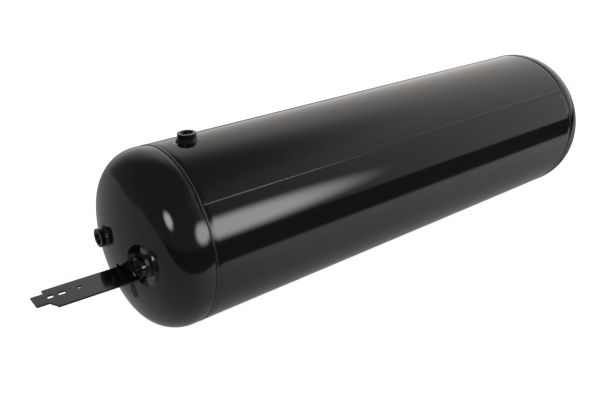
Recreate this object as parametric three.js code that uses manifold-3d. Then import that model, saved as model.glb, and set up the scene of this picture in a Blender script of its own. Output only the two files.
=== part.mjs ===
// A welded steel compressed-air reservoir lying on its side: a rolled shell, two dished heads,
// three threaded port bosses and a flat bracket on the front head.
// Working frame: the tank's axis is X, x = 0 is the middle of the front girth joint,
// the front head points to -X and +Z is up. The whole is then moved so that the origin is
// under the middle of its box, on the surface it lies on.
import * as THREE from "three";
import { mergeVertices } from "three/addons/utils/BufferGeometryUtils.js";
import Module from "manifold-3d";

const wasm = await Module();
wasm.setup();

// ---- driving dimensions, millimetres and degrees ----

const SHELL_RADIUS = 155; // outside, measured to the flats of the faceted round
const WALL = 3;
const JOINT_TO_JOINT = 948; // between the middles of the two girth joints
const ROUND_SIDES = 32; // flats around the shell, one of them facing straight down
const CLEARANCE = 0.3; // left between any two pieces that touch

const CROWN_RADIUS = 310; // torispherical heads
const KNUCKLE_RADIUS = 62;
const FRONT_SKIRT = 16; // straight part of each head
const REAR_SKIRT = 4;
const KNUCKLE_STEPS = 7;
const CROWN_STEPS = 6;

const WEB_WIDTH = 1; // weld metal between two plate edges
const CAP_WIDTH = 4.5;
const CAP_HEIGHT = 1;
const ROOT_WIDTH = 5;
const ROOT_HEIGHT = 1;
const SEAM_ANGLE = 52; // lengthwise seam, turned from the top towards -Y

const BOSS_RADIUS = 16;
const BOSS_HEIGHT = 12.5;
const BOSS_CHAMFER = 0.8;
const SPIGOT_RADIUS = 13;
const BORE_RADIUS = 10.2; // core hole of an M22 x 1.5 thread
const BORE_CHAMFER = 1.2;
const BORE_SIDES = 24;
const BOSS_SIDES = 32;
const COLLAR_LEG = 4; // fillet weld around a boss, from the boss out to its toe
const COLLAR_HEIGHT = 4.5;
const COLLAR_LIP = 0.8; // thickness of the weld at its top

const TOP_PORT_X = 54; // behind the front girth joint
const LEFT_PORT = { y: 37, z: 14 };
const RIGHT_PORT = { y: -77, z: 1.5 };
const SEAT_RADIUS = 33; // flat pressed into the head under the right port
const SEAT_SINK = 4.5; // below the dished surface at the middle of the flat
const SEAT_DRAFT = 0.35; // widening of its flank for each millimetre of depth
const SEAT_DEPTH = 60; // reach of the tools that shape it

const BRACKET_WIDTH = 61;
const BRACKET_THICKNESS = 3;
const BRACKET_REACH = 146; // past the top of the front head
const BRACKET_TURN = 3; // its outer end points a little to +Y
const BRACKET_Y = -36; // middle of the bracket where it meets the head
const BRACKET_LEVEL = -24; // top face, below the tank's axis
const FOOT_DROP = 46; // foot that lies against the head, below the strap
const FOOT_WIDTH = 33; // measured in from the strap's +Y side, with which it is flush
const TONGUE_LENGTH = 20;
const TONGUE_WIDTH = 32;
const TONGUE_OFFSET = 3.5; // middle of the tongue from the middle of the strap
const SHOULDER_SLOPE = 7;
const SQUARE_HOLE = 9;
const SLOT_LENGTH = 11;
const SLOT_WIDTH = 8.5;
const ROUND_HOLE_RADIUS = 3.3;
const SQUARE_HOLE_X = 26; // hole middles, back from the tip of the bracket
const SLOT_X = 44;
const ROUND_HOLE_X = 71;
const HOLE_OFFSET = 5; // hole line from the middle of the strap
const BRACKET_WELD_WIDTH = 6.5; // one bead beside the foot, one at the strap's +Y side
const BRACKET_WELD_HEIGHT = 2.4;
const CORNER_WELD_LOW = -12; // ends of the bead at the strap's side, from its top face
const CORNER_WELD_HIGH = 3;

// ---- values that follow from them ----

const JOINT_GAP = WEB_WIDTH + 2 * CLEARANCE;
const crownDrop = Math.sqrt((CROWN_RADIUS - KNUCKLE_RADIUS) ** 2 - (SHELL_RADIUS - KNUCKLE_RADIUS) ** 2);
const crownAngle = Math.atan2(SHELL_RADIUS - KNUCKLE_RADIUS, crownDrop);
const REACH = 3 * SHELL_RADIUS; // longer than any cut has to be
const PORT_PATH = 4 * BOSS_HEIGHT;

// ---- solids ----

function closedSolid(geometry) {
  const bare = geometry.clone();
  bare.deleteAttribute("normal");
  bare.deleteAttribute("uv");
  const merged = mergeVertices(bare, 1e-4);
  const corners = [];
  for (let i = 0; i < merged.index.count; i += 3) {
    const triangle = [0, 1, 2].map((k) => merged.index.getX(i + k));
    if (new Set(triangle).size === 3) corners.push(...triangle);
  }
  const mesh = new wasm.Mesh({
    numProp: 3,
    vertProperties: new Float32Array(merged.attributes.position.array),
    triVerts: new Uint32Array(corners),
  });
  return new wasm.Manifold(mesh);
}

function geometryOf(solid) {
  const mesh = solid.getMesh();
  const geometry = new THREE.BufferGeometry();
  geometry.setAttribute("position", new THREE.BufferAttribute(new Float32Array(mesh.vertProperties), 3));
  geometry.setIndex(new THREE.BufferAttribute(new Uint32Array(mesh.triVerts), 1));
  geometry.computeVertexNormals();
  return geometry;
}

function unite(...solids) {
  return solids.reduce((whole, next) => whole.add(next));
}

// Revolves [radius, height] points about the height axis, with flats at the given radii.
function lathe(points, sides) {
  const corner = 1 / Math.cos(Math.PI / sides);
  const profile = points.map(([radius, height]) => new THREE.Vector2(radius * corner, height));
  return new THREE.LatheGeometry(profile, sides, Math.PI / sides);
}

// The same about the tank's axis; heights grow towards +X, or towards -X for the front head.
function turned(points, toFront = false) {
  const geometry = lathe(points, ROUND_SIDES);
  geometry.rotateZ(toFront ? Math.PI / 2 : -Math.PI / 2);
  return closedSolid(geometry);
}

function drum(radius, from, to) {
  return turned([[0, from], [radius, from], [radius, to], [0, to]]);
}

function box(xRange, yRange, zRange) {
  const size = [xRange, yRange, zRange].map(([low, high]) => high - low);
  const middle = [xRange, yRange, zRange].map(([low, high]) => (low + high) / 2);
  return new THREE.BoxGeometry(...size).translate(...middle);
}

function plate(outline, holes, bottom, top) {
  const shape = new THREE.Shape(outline.map(([x, y]) => new THREE.Vector2(x, y)));
  shape.holes = holes;
  const settings = { depth: top - bottom, bevelEnabled: false };
  return new THREE.ExtrudeGeometry(shape, settings).translate(0, 0, bottom);
}

// ---- dished heads ----

// Height of the dished surface over the start of the knuckle, at a distance from the axis.
function dishHeight(distance) {
  const crownEdge = CROWN_RADIUS * Math.sin(crownAngle);
  if (distance <= crownEdge) return Math.sqrt(CROWN_RADIUS ** 2 - distance ** 2) - crownDrop;
  return Math.sqrt(KNUCKLE_RADIUS ** 2 - (distance - SHELL_RADIUS + KNUCKLE_RADIUS) ** 2);
}

// Meridian from the edge of the skirt to the pole, moved outward by grow.
function meridian(skirt, grow, start) {
  const points = [[SHELL_RADIUS + grow, start]];
  const knuckleTurn = Math.PI / 2 - crownAngle;
  for (let i = 0; i <= KNUCKLE_STEPS; i++) {
    const angle = (i / KNUCKLE_STEPS) * knuckleTurn;
    const radius = SHELL_RADIUS - KNUCKLE_RADIUS + (KNUCKLE_RADIUS + grow) * Math.cos(angle);
    points.push([radius, skirt + (KNUCKLE_RADIUS + grow) * Math.sin(angle)]);
  }
  for (let i = CROWN_STEPS - 1; i >= 0; i--) {
    const angle = (i / CROWN_STEPS) * crownAngle;
    const height = skirt - crownDrop + (CROWN_RADIUS + grow) * Math.cos(angle);
    points.push([(CROWN_RADIUS + grow) * Math.sin(angle), height]);
  }
  return points;
}

function dishedWall(skirt, toFront, base) {
  const inner = meridian(skirt, -WALL, JOINT_GAP / 2).reverse();
  const profile = [...inner, ...meridian(skirt, 0, JOINT_GAP / 2)];
  const solid = turned(profile, toFront);
  return solid.translate([base, 0, 0]);
}

// Everything inside the front head's plain dished surface, moved outward by grow.
function frontDish(grow) {
  const profile = [[0, -REACH], [SHELL_RADIUS + grow, -REACH], ...meridian(FRONT_SKIRT, grow, 0)];
  return turned(profile, true);
}

function frontSurface(port) {
  return -(FRONT_SKIRT + dishHeight(Math.hypot(port.y, port.z)));
}

const SEAT_X = frontSurface(RIGHT_PORT) + SEAT_SINK;

// Round flank tool on the right port's axis, from the seat plane towards inside or outside.
function seatTool(grow, outward) {
  const near = SEAT_RADIUS + (outward ? -grow : grow);
  const far = near + SEAT_DRAFT * SEAT_DEPTH;
  const profile = outward
    ? [[0, 0], [near, 0], [far, SEAT_DEPTH], [0, SEAT_DEPTH]]
    : [[0, -SEAT_DEPTH], [far, -SEAT_DEPTH], [near, 0], [0, 0]];
  const geometry = lathe(profile, ROUND_SIDES).rotateZ(Math.PI / 2);
  return closedSolid(geometry.translate(SEAT_X - grow, RIGHT_PORT.y, RIGHT_PORT.z));
}

// Everything inside the front head's surface with the pressed seat, moved outward by grow.
function frontEnvelope(grow) {
  return frontDish(grow).add(seatTool(grow, false)).subtract(seatTool(grow, true));
}

// ---- ports ----

// Places a solid built about +Z onto the shell's top or onto the front head.
function onShell(geometry) {
  return closedSolid(geometry.clone().translate(TOP_PORT_X, 0, SHELL_RADIUS));
}

function onFront(port, x) {
  return (geometry) => closedSolid(geometry.clone().rotateY(-Math.PI / 2).translate(x, port.y, port.z));
}

function pin(radius, from, to) {
  const geometry = lathe([[0, from], [radius, from], [radius, to], [0, to]], BORE_SIDES);
  return geometry.rotateX(Math.PI / 2);
}

function boss(place, envelope) {
  const blank = lathe([
    [0, -BOSS_HEIGHT],
    [BOSS_RADIUS, -BOSS_HEIGHT],
    [BOSS_RADIUS, BOSS_HEIGHT - BOSS_CHAMFER],
    [BOSS_RADIUS - BOSS_CHAMFER, BOSS_HEIGHT],
    [0, BOSS_HEIGHT],
  ], BOSS_SIDES).rotateX(Math.PI / 2);
  const mouth = lathe([
    [0, -PORT_PATH],
    [BORE_RADIUS, -PORT_PATH],
    [BORE_RADIUS, BOSS_HEIGHT - BORE_CHAMFER],
    [BORE_RADIUS + 2 * BORE_CHAMFER, BOSS_HEIGHT + BORE_CHAMFER],
    [0, BOSS_HEIGHT + BORE_CHAMFER],
  ], BORE_SIDES).rotateX(Math.PI / 2);
  const body = place(blank).subtract(envelope);
  const spigot = place(pin(SPIGOT_RADIUS, -WALL, BOSS_HEIGHT / 2));
  return body.add(spigot).subtract(place(mouth));
}

function bossWeld(place, envelope) {
  const inner = BOSS_RADIUS + CLEARANCE;
  const toe = BOSS_RADIUS + COLLAR_LEG;
  const fillet = lathe([
    [inner, -BOSS_HEIGHT],
    [toe, -BOSS_HEIGHT],
    [toe, CLEARANCE],
    [inner + COLLAR_LIP, COLLAR_HEIGHT],
    [inner, COLLAR_HEIGHT],
    [inner, -BOSS_HEIGHT],
  ], BOSS_SIDES).rotateX(Math.PI / 2);
  return place(fillet).subtract(envelope);
}

function wallHole(place) {
  return place(pin(SPIGOT_RADIUS + CLEARANCE, -PORT_PATH, PORT_PATH));
}

// ---- shell and its seam ----

const shellStart = JOINT_GAP / 2;
const shellEnd = JOINT_TO_JOINT - JOINT_GAP / 2;

function rolledTube() {
  const inner = SHELL_RADIUS - WALL;
  return turned([
    [inner, shellStart], [inner, shellEnd], [SHELL_RADIUS, shellEnd], [SHELL_RADIUS, shellStart],
    [inner, shellStart],
  ].reverse());
}

// A block on the seam line: across its width, between two radii.
function alongSeam(width, low, high, inset) {
  const block = box([inset, JOINT_TO_JOINT - inset], [-width / 2, width / 2], [low, high]);
  return closedSolid(block.rotateX(THREE.MathUtils.degToRad(SEAM_ANGLE)));
}

function shell() {
  const slot = alongSeam(JOINT_GAP, SHELL_RADIUS - 2 * WALL, SHELL_RADIUS + WALL, 0);
  return rolledTube().subtract(slot).subtract(wallHole(onShell));
}

function seamWeld() {
  const innerRadius = SHELL_RADIUS - WALL - CLEARANCE;
  const capTop = SHELL_RADIUS + CLEARANCE + CAP_HEIGHT;
  const end = Math.max(CAP_WIDTH, ROOT_WIDTH) / 2 + CLEARANCE; // clear of the girth welds' beads
  const outside = drum(SHELL_RADIUS + CLEARANCE, -1, JOINT_TO_JOINT + 1);
  const inside = drum(innerRadius, -1, JOINT_TO_JOINT + 1);
  const cap = alongSeam(CAP_WIDTH, SHELL_RADIUS - 1, capTop, end).subtract(outside);
  const root = alongSeam(ROOT_WIDTH, innerRadius - ROOT_HEIGHT, SHELL_RADIUS, end).intersect(inside);
  const riser = alongSeam(WEB_WIDTH, innerRadius - ROOT_HEIGHT / 2, capTop - CAP_HEIGHT / 2, end);
  const web = alongSeam(WEB_WIDTH, SHELL_RADIUS - 2 * WALL, SHELL_RADIUS + WALL, 0).intersect(rolledTube());
  return unite(cap, riser, web, root);
}

// A ring of weld with a cap outside, a web between the plates and a root bead inside.
function girthWeld(middle) {
  const capLow = SHELL_RADIUS + CLEARANCE;
  const rootTop = SHELL_RADIUS - WALL - CLEARANCE;
  const half = { web: WEB_WIDTH / 2, cap: CAP_WIDTH / 2, root: ROOT_WIDTH / 2 };
  const side = (sign) => [
    [rootTop - ROOT_HEIGHT, (sign * half.root) / 2],
    [rootTop, sign * half.root],
    [rootTop, sign * half.web],
    [capLow, sign * half.web],
    [capLow, sign * half.cap],
    [capLow + CAP_HEIGHT, (sign * half.cap) / 2],
  ];
  const loop = [...side(-1), ...side(1).reverse()];
  return turned([...loop, loop[0]]).translate([middle, 0, 0]);
}

// ---- bracket ----

function bracketFrame(geometry) {
  const turn = -THREE.MathUtils.degToRad(BRACKET_TURN);
  const start = frontSurface({ y: 0, z: 0 });
  return closedSolid(geometry.rotateZ(turn).translate(start, BRACKET_Y, BRACKET_LEVEL));
}

function rectangleHole(middleX, middleY, length, width) {
  const path = new THREE.Path();
  path.moveTo(middleX - length / 2, middleY - width / 2);
  path.lineTo(middleX - length / 2, middleY + width / 2);
  path.lineTo(middleX + length / 2, middleY + width / 2);
  path.lineTo(middleX + length / 2, middleY - width / 2);
  path.closePath();
  return path;
}

function strap() {
  const half = BRACKET_WIDTH / 2;
  const tip = -BRACKET_REACH;
  const shoulder = tip + TONGUE_LENGTH;
  const far = TONGUE_OFFSET + TONGUE_WIDTH / 2;
  const near = TONGUE_OFFSET - TONGUE_WIDTH / 2;
  const root = SHELL_RADIUS / 2;
  const outline = [
    [root, -half], [root, half], [shoulder, half], [shoulder, far], [tip, far], [tip, near],
    [shoulder, near], [shoulder + SHOULDER_SLOPE, -half],
  ];
  const roundHole = new THREE.Path();
  roundHole.absarc(tip + ROUND_HOLE_X, HOLE_OFFSET, ROUND_HOLE_RADIUS, 0, 2 * Math.PI, true);
  const holes = [
    rectangleHole(tip + SQUARE_HOLE_X, HOLE_OFFSET, SQUARE_HOLE, SQUARE_HOLE),
    rectangleHole(tip + SLOT_X, HOLE_OFFSET, SLOT_LENGTH, SLOT_WIDTH),
    roundHole,
  ];
  return bracketFrame(plate(outline, holes, -BRACKET_THICKNESS, 0));
}

// A column in front of the head, in the bracket's frame: across the strap, and up and down.
function column(yRange, zRange) {
  return bracketFrame(box([-SHELL_RADIUS, SHELL_RADIUS], yRange, zRange));
}

function skin(low, high) {
  return frontDish(high).subtract(frontDish(low));
}

const strapSide = BRACKET_WIDTH / 2;
const footSide = strapSide - FOOT_WIDTH;

function bracket() {
  const footColumn = column([footSide, strapSide], [-FOOT_DROP, 0]);
  const foot = skin(CLEARANCE, CLEARANCE + BRACKET_THICKNESS).intersect(footColumn);
  return strap().add(foot).subtract(frontEnvelope(CLEARANCE));
}

function beadOnHead(yRange, zRange) {
  const bead = skin(CLEARANCE, CLEARANCE + BRACKET_WELD_HEIGHT).intersect(column(yRange, zRange));
  return bead.subtract(frontEnvelope(CLEARANCE));
}

function leftBracketWeld() {
  const start = strapSide + CLEARANCE;
  return beadOnHead([start, start + BRACKET_WELD_WIDTH], [CORNER_WELD_LOW, CORNER_WELD_HIGH]);
}

// It stays under the strap, which reaches past the foot on this side.
function rightBracketWeld() {
  const start = footSide - CLEARANCE;
  return beadOnHead([start - BRACKET_WELD_WIDTH, start], [-FOOT_DROP, -BRACKET_THICKNESS - CLEARANCE]);
}

// ---- assembly ----

const paint = { color: 0x0b0b0c, roughness: 0.18, metalness: 0 };
const tank = new THREE.Group();

function addPart(name, solid) {
  const mesh = new THREE.Mesh(geometryOf(solid), new THREE.MeshStandardMaterial(paint));
  mesh.name = name;
  tank.add(mesh);
}

const onLeft = onFront(LEFT_PORT, frontSurface(LEFT_PORT));
const onRight = onFront(RIGHT_PORT, SEAT_X);
const aboveShell = drum(SHELL_RADIUS + CLEARANCE, 0, JOINT_TO_JOINT);
const aboveFront = frontEnvelope(CLEARANCE);

function frontHead() {
  const wall = frontEnvelope(0).subtract(frontEnvelope(-WALL));
  const skirtEnd = closedSolid(box([-REACH, -JOINT_GAP / 2], [-REACH, REACH], [-REACH, REACH]));
  return wall.intersect(skirtEnd).subtract(wallHole(onLeft)).subtract(wallHole(onRight));
}

addPart("shell", shell());
addPart("seam_weld", seamWeld());
addPart("front_head", frontHead());
addPart("rear_head", dishedWall(REAR_SKIRT, false, JOINT_TO_JOINT));
addPart("front_girth_weld", girthWeld(0));
addPart("rear_girth_weld", girthWeld(JOINT_TO_JOINT));
addPart("top_port_boss", boss(onShell, aboveShell));
addPart("top_port_weld", bossWeld(onShell, aboveShell));
addPart("left_port_boss", boss(onLeft, aboveFront));
addPart("left_port_weld", bossWeld(onLeft, aboveFront));
addPart("right_port_boss", boss(onRight, aboveFront));
addPart("right_port_weld", bossWeld(onRight, aboveFront));
addPart("bracket", bracket());
addPart("bracket_weld_left", leftBracketWeld());
addPart("bracket_weld_right", rightBracketWeld());

const bounds = new THREE.Box3().setFromObject(tank);
tank.position.set(-(bounds.min.x + bounds.max.x) / 2, 0, -bounds.min.z);

export default tank;
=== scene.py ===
"""The finished look of a welded compressed-air reservoir: gloss-black paint on a rolled shell,
dished heads, rippled welds, threaded port bosses and a flat bracket."""

import logging
import math
from dataclasses import dataclass, field
from enum import Enum
from typing import Any, Callable, Sequence

import bmesh
import bpy
import numpy as np
from mathutils import Matrix, Vector


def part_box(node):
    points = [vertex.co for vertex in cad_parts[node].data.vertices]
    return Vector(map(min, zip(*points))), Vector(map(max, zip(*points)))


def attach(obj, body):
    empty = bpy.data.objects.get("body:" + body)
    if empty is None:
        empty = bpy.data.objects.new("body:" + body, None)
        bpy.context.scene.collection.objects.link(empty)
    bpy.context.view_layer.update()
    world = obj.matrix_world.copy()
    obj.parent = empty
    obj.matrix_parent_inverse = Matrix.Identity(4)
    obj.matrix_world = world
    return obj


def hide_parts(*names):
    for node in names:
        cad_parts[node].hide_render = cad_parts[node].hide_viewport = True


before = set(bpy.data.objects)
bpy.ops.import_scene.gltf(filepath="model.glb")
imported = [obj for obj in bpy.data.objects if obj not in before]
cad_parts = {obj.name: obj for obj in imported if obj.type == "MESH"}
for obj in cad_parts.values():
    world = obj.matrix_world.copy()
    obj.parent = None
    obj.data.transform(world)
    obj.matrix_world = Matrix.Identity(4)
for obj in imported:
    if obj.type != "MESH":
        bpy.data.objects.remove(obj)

Array = np.ndarray
log = logging.getLogger("reservoir")

MM = 0.001
TURN = 2.0 * math.pi
EDGE = 0.15 * MM  # distance of the extra ring that keeps a plate's edge crisp
SEAM_ANGLE = 52.0  # degrees of the lengthwise seam from the top, towards -Y
DRAW_DEPTH = 1.1 * MM  # sink of the plates at a girth joint
DRAW_REACH = 10.0 * MM  # distance over which they sink
MERGE = 2e-6  # points closer than this, in metres, become one
SLIVER = 1e-7  # edges shorter than this are dissolved
LIP = 0.6 * MM  # how far a bead's two edges reach down into the plate
PHASE_DRIFT = 0.35  # how many ripples a bead's passes wander
WANDER_SHARES = (0.3, 0.55, 0.8, 1.0, 1.3, 1.7, 2.3)
WANDER_GAIN = 1.6  # makes up for sines that seldom peak together
SQUARE = 12.0  # power of a superellipse that is nearly a rectangle
ROUND = 2.0  # power of one that is a circle


# ---------------------------------------------------------------- meshes


def linked(name: str, data: bpy.types.ID) -> bpy.types.Object:
    """Makes an object of some data and puts it into the scene."""
    made = bpy.data.objects.new(name, data)
    bpy.context.scene.collection.objects.link(made)
    return made


def closed_mesh(name: str, points: Array, wrap_rows: bool, wrap_columns: bool = True) -> bpy.types.Object:
    """Makes one piece from a grid of points, closed unless neither way wraps.

    Each grid cell becomes a four-sided face; rows that shrink to a point are merged into it, and
    the faces are then turned outward.

    Args:
        name: the piece's name.
        points: positions in metres, shaped (rows, columns, 3).
        wrap_rows: whether the last row joins the first.
        wrap_columns: whether the last column joins the first.

    Returns:
        The new object, at the origin.
    """
    rows, columns = points.shape[:2]
    row = np.arange(rows if wrap_rows else rows - 1)[:, None]
    column = np.arange(columns if wrap_columns else columns - 1)[None, :]
    next_row = (row + 1) % rows
    next_column = (column + 1) % columns
    corners = [row * columns + column, row * columns + next_column]
    corners += [next_row * columns + next_column, next_row * columns + column]
    quads = np.stack(corners, axis=-1).reshape(-1, 4).astype(np.int32)
    mesh = bpy.data.meshes.new(name)
    mesh.vertices.add(rows * columns)
    mesh.vertices.foreach_set("co", points.astype(np.float32).ravel())
    mesh.loops.add(quads.size)
    mesh.loops.foreach_set("vertex_index", quads.ravel())
    mesh.polygons.add(len(quads))
    mesh.polygons.foreach_set("loop_start", np.arange(0, quads.size, 4, dtype=np.int32))
    mesh.update(calc_edges=True)
    tidy_mesh(mesh)
    return linked(name, mesh)


def tidy_mesh(mesh: bpy.types.Mesh, smooth: bool = True) -> None:
    """Merges doubled points, turns the faces outward and sets their shading.

    Args:
        mesh: the mesh to mend in place.
        smooth: whether its faces are shaded smooth.
    """
    work = bmesh.new()
    work.from_mesh(mesh)
    bmesh.ops.remove_doubles(work, verts=work.verts, dist=MERGE)
    bmesh.ops.dissolve_degenerate(work, edges=work.edges, dist=SLIVER)
    bmesh.ops.recalc_face_normals(work, faces=work.faces)
    work.to_mesh(mesh)
    work.free()
    mesh.polygons.foreach_set("use_smooth", np.full(len(mesh.polygons), smooth))
    mesh.update()


def settled(piece: bpy.types.Object) -> None:
    """Replaces a piece's mesh by what its modifiers make of it, and drops the modifiers."""
    bpy.context.view_layer.update()
    shape = piece.evaluated_get(bpy.context.evaluated_depsgraph_get())
    piece.data = bpy.data.meshes.new_from_object(shape)
    piece.modifiers.clear()


def drill(piece: bpy.types.Object, cutter: bpy.types.Object) -> None:
    """Cuts a closed cutter out of a piece and removes the cutter."""
    cut = piece.modifiers.new("drill", "BOOLEAN")
    cut.operation = "DIFFERENCE"
    cut.solver = "EXACT"
    cut.object = cutter
    settled(piece)
    bpy.data.objects.remove(cutter)


def joined(name: str, pieces: Sequence[bpy.types.Object]) -> bpy.types.Object:
    """Puts several meshes into one piece and removes the originals.

    Args:
        name: the name of the new piece.
        pieces: the objects to put together, all at the origin.

    Returns:
        The new object.
    """
    work = bmesh.new()
    for piece in pieces:
        work.from_mesh(piece.data)
        bpy.data.objects.remove(piece)
    mesh = bpy.data.meshes.new(name)
    work.to_mesh(mesh)
    work.free()
    return linked(name, mesh)


def wander(along: Array, cycles: float, seed: int) -> Array:
    """An uneven wave for hand work: seven sines of chosen frequency with random phases, within +-1.6.

    Args:
        along: position, once round or once along being 1.
        cycles: about how many swings there are in that length.
        seed: fixes the phases.

    Returns:
        The wave's height at each position.
    """
    dice = np.random.default_rng(seed)
    total = np.zeros_like(along)
    for share in WANDER_SHARES:
        turns = max(1, round(cycles * share))
        total = total + np.sin(TURN * (turns * along + dice.random())) / len(WANDER_SHARES)
    return total * WANDER_GAIN


def ripple(phase: Array) -> Array:
    """The stacked look of weld metal: each pass rises slowly and drops quickly, from 0 to 1."""
    part = phase - np.floor(phase)
    return np.where(part < 0.75, part / 0.75, (1.0 - part) / 0.25)


def eased(value: Array) -> Array:
    """A smooth step from 0 to 1: three times the square less twice the cube."""
    held = np.clip(value, 0.0, 1.0)
    return held * held * (3.0 - 2.0 * held)


# ---------------------------------------------------------------- shader maths


class Graph:
    """One node tree and the one method that adds nodes to it."""

    def __init__(self, tree: bpy.types.NodeTree) -> None:
        """Takes over a node tree and empties it."""
        self.tree = tree
        tree.nodes.clear()

    def node(self, kind: str, settings: dict[str, Any] | None = None, **inputs: Any) -> bpy.types.Node:
        """Adds a node.

        Args:
            kind: Blender's type name of the node.
            settings: its properties, set first; stops is a ramp's list of (place, grey).
            inputs: values or links for its sockets, by name with _ for a blank, or i0, i1, ... by
                number.

        Returns:
            The new node.
        """
        made = self.tree.nodes.new(kind)
        for key, value in (settings or {}).items():
            if key == "stops":
                self._set_stops(made, value)
            else:
                setattr(made, key, value)
        for key, value in inputs.items():
            numbered = key[0] == "i" and key[1:].isdigit()
            socket = made.inputs[int(key[1:])] if numbered else made.inputs[key.replace("_", " ")]
            self._feed(socket, value)
        return made

    def _set_stops(self, ramp: bpy.types.Node, stops: Sequence[tuple[float, float]]) -> None:
        """Gives a colour ramp its stops, each a place and a grey."""
        elements = ramp.color_ramp.elements
        while len(elements) < len(stops):
            elements.new(0.5)
        for element, (place, grey) in zip(elements, stops):
            element.position = place
            element.color = (grey, grey, grey, 1.0)

    def _feed(self, socket: bpy.types.NodeSocket, value: Any) -> None:
        """Links or sets one input socket."""
        if isinstance(value, Value):
            self.tree.links.new(value.socket, socket)
        elif isinstance(value, bpy.types.NodeSocket):
            self.tree.links.new(value, socket)
        else:
            socket.default_value = value

    def value(
        self, kind: str, settings: dict[str, Any] | None = None, out: int | str = 0, **inputs: Any
    ) -> "Value":
        """Adds a node and wraps one of its outputs; the arguments are those of node, and out."""
        return Value(self, self.node(kind, settings, **inputs).outputs[out])

    def split(self, vector: bpy.types.NodeSocket) -> list["Value"]:
        """Splits a vector into its three parts."""
        parts = self.node("ShaderNodeSeparateXYZ", None, Vector=vector)
        return [Value(self, part) for part in parts.outputs]

    def blend(self, factor: Any, first: Any, second: Any) -> "Value":
        """Mixes two colours: the first where factor is 0, the second where it is 1."""
        settings = {"data_type": "RGBA", "clamp_factor": True}
        return self.value("ShaderNodeMix", settings, 2, i0=factor, i6=first, i7=second)


@dataclass(frozen=True)
class Value:
    """A number on a socket, used in ordinary Python expressions that add Math nodes."""

    graph: Graph
    socket: bpy.types.NodeSocket

    def _math(self, operation: str, *terms: Any) -> "Value":
        """Adds one Math node on the terms in order."""
        inputs = {f"i{number}": term for number, term in enumerate(terms)}
        return self.graph.value("ShaderNodeMath", {"operation": operation}, 0, **inputs)

    def __add__(self, other: Any) -> "Value":
        """Sum."""
        return self._math("ADD", self, other)

    def __radd__(self, other: Any) -> "Value":
        """Sum with a number on the left."""
        return self._math("ADD", other, self)

    def __sub__(self, other: Any) -> "Value":
        """Difference."""
        return self._math("SUBTRACT", self, other)

    def __rsub__(self, other: Any) -> "Value":
        """Difference from a number on the left."""
        return self._math("SUBTRACT", other, self)

    def __mul__(self, other: Any) -> "Value":
        """Product."""
        return self._math("MULTIPLY", self, other)

    def __rmul__(self, other: Any) -> "Value":
        """Product with a number on the left."""
        return self._math("MULTIPLY", other, self)

    def __truediv__(self, other: Any) -> "Value":
        """Quotient."""
        return self._math("DIVIDE", self, other)

    def __pow__(self, other: Any) -> "Value":
        """Power."""
        return self._math("POWER", self, other)

    def step(self, low: float, high: float) -> "Value":
        """A smooth step: 0 below low, 1 above high."""
        settings = {"interpolation_type": "SMOOTHSTEP"}
        return self.graph.value("ShaderNodeMapRange", settings, 0, i0=self, i1=low, i2=high, i3=0.0, i4=1.0)

    def band(self, low: float, high: float, edge: float) -> "Value":
        """1 between low and high, 0 outside, with soft edges of the given width."""
        return self.step(low - edge, low + edge) * (1.0 - self.step(high - edge, high + edge))


def blank_material(name: str) -> tuple[bpy.types.Material, Graph]:
    """Makes a material and the empty graph that fills it."""
    made = bpy.data.materials.new(name)
    made.use_nodes = True
    return made, Graph(made.node_tree)


# ---------------------------------------------------------------- finishes


class Tint(Enum):
    """Base colours of the steel and its coating, linear red, green and blue."""

    BLACK_PAINT = (0.0045, 0.0045, 0.0048, 1.0)
    WORN_PAINT = (0.022, 0.021, 0.020, 1.0)
    DUST = (0.16, 0.15, 0.135, 1.0)
    BARE_STEEL = (0.30, 0.29, 0.28, 1.0)


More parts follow.
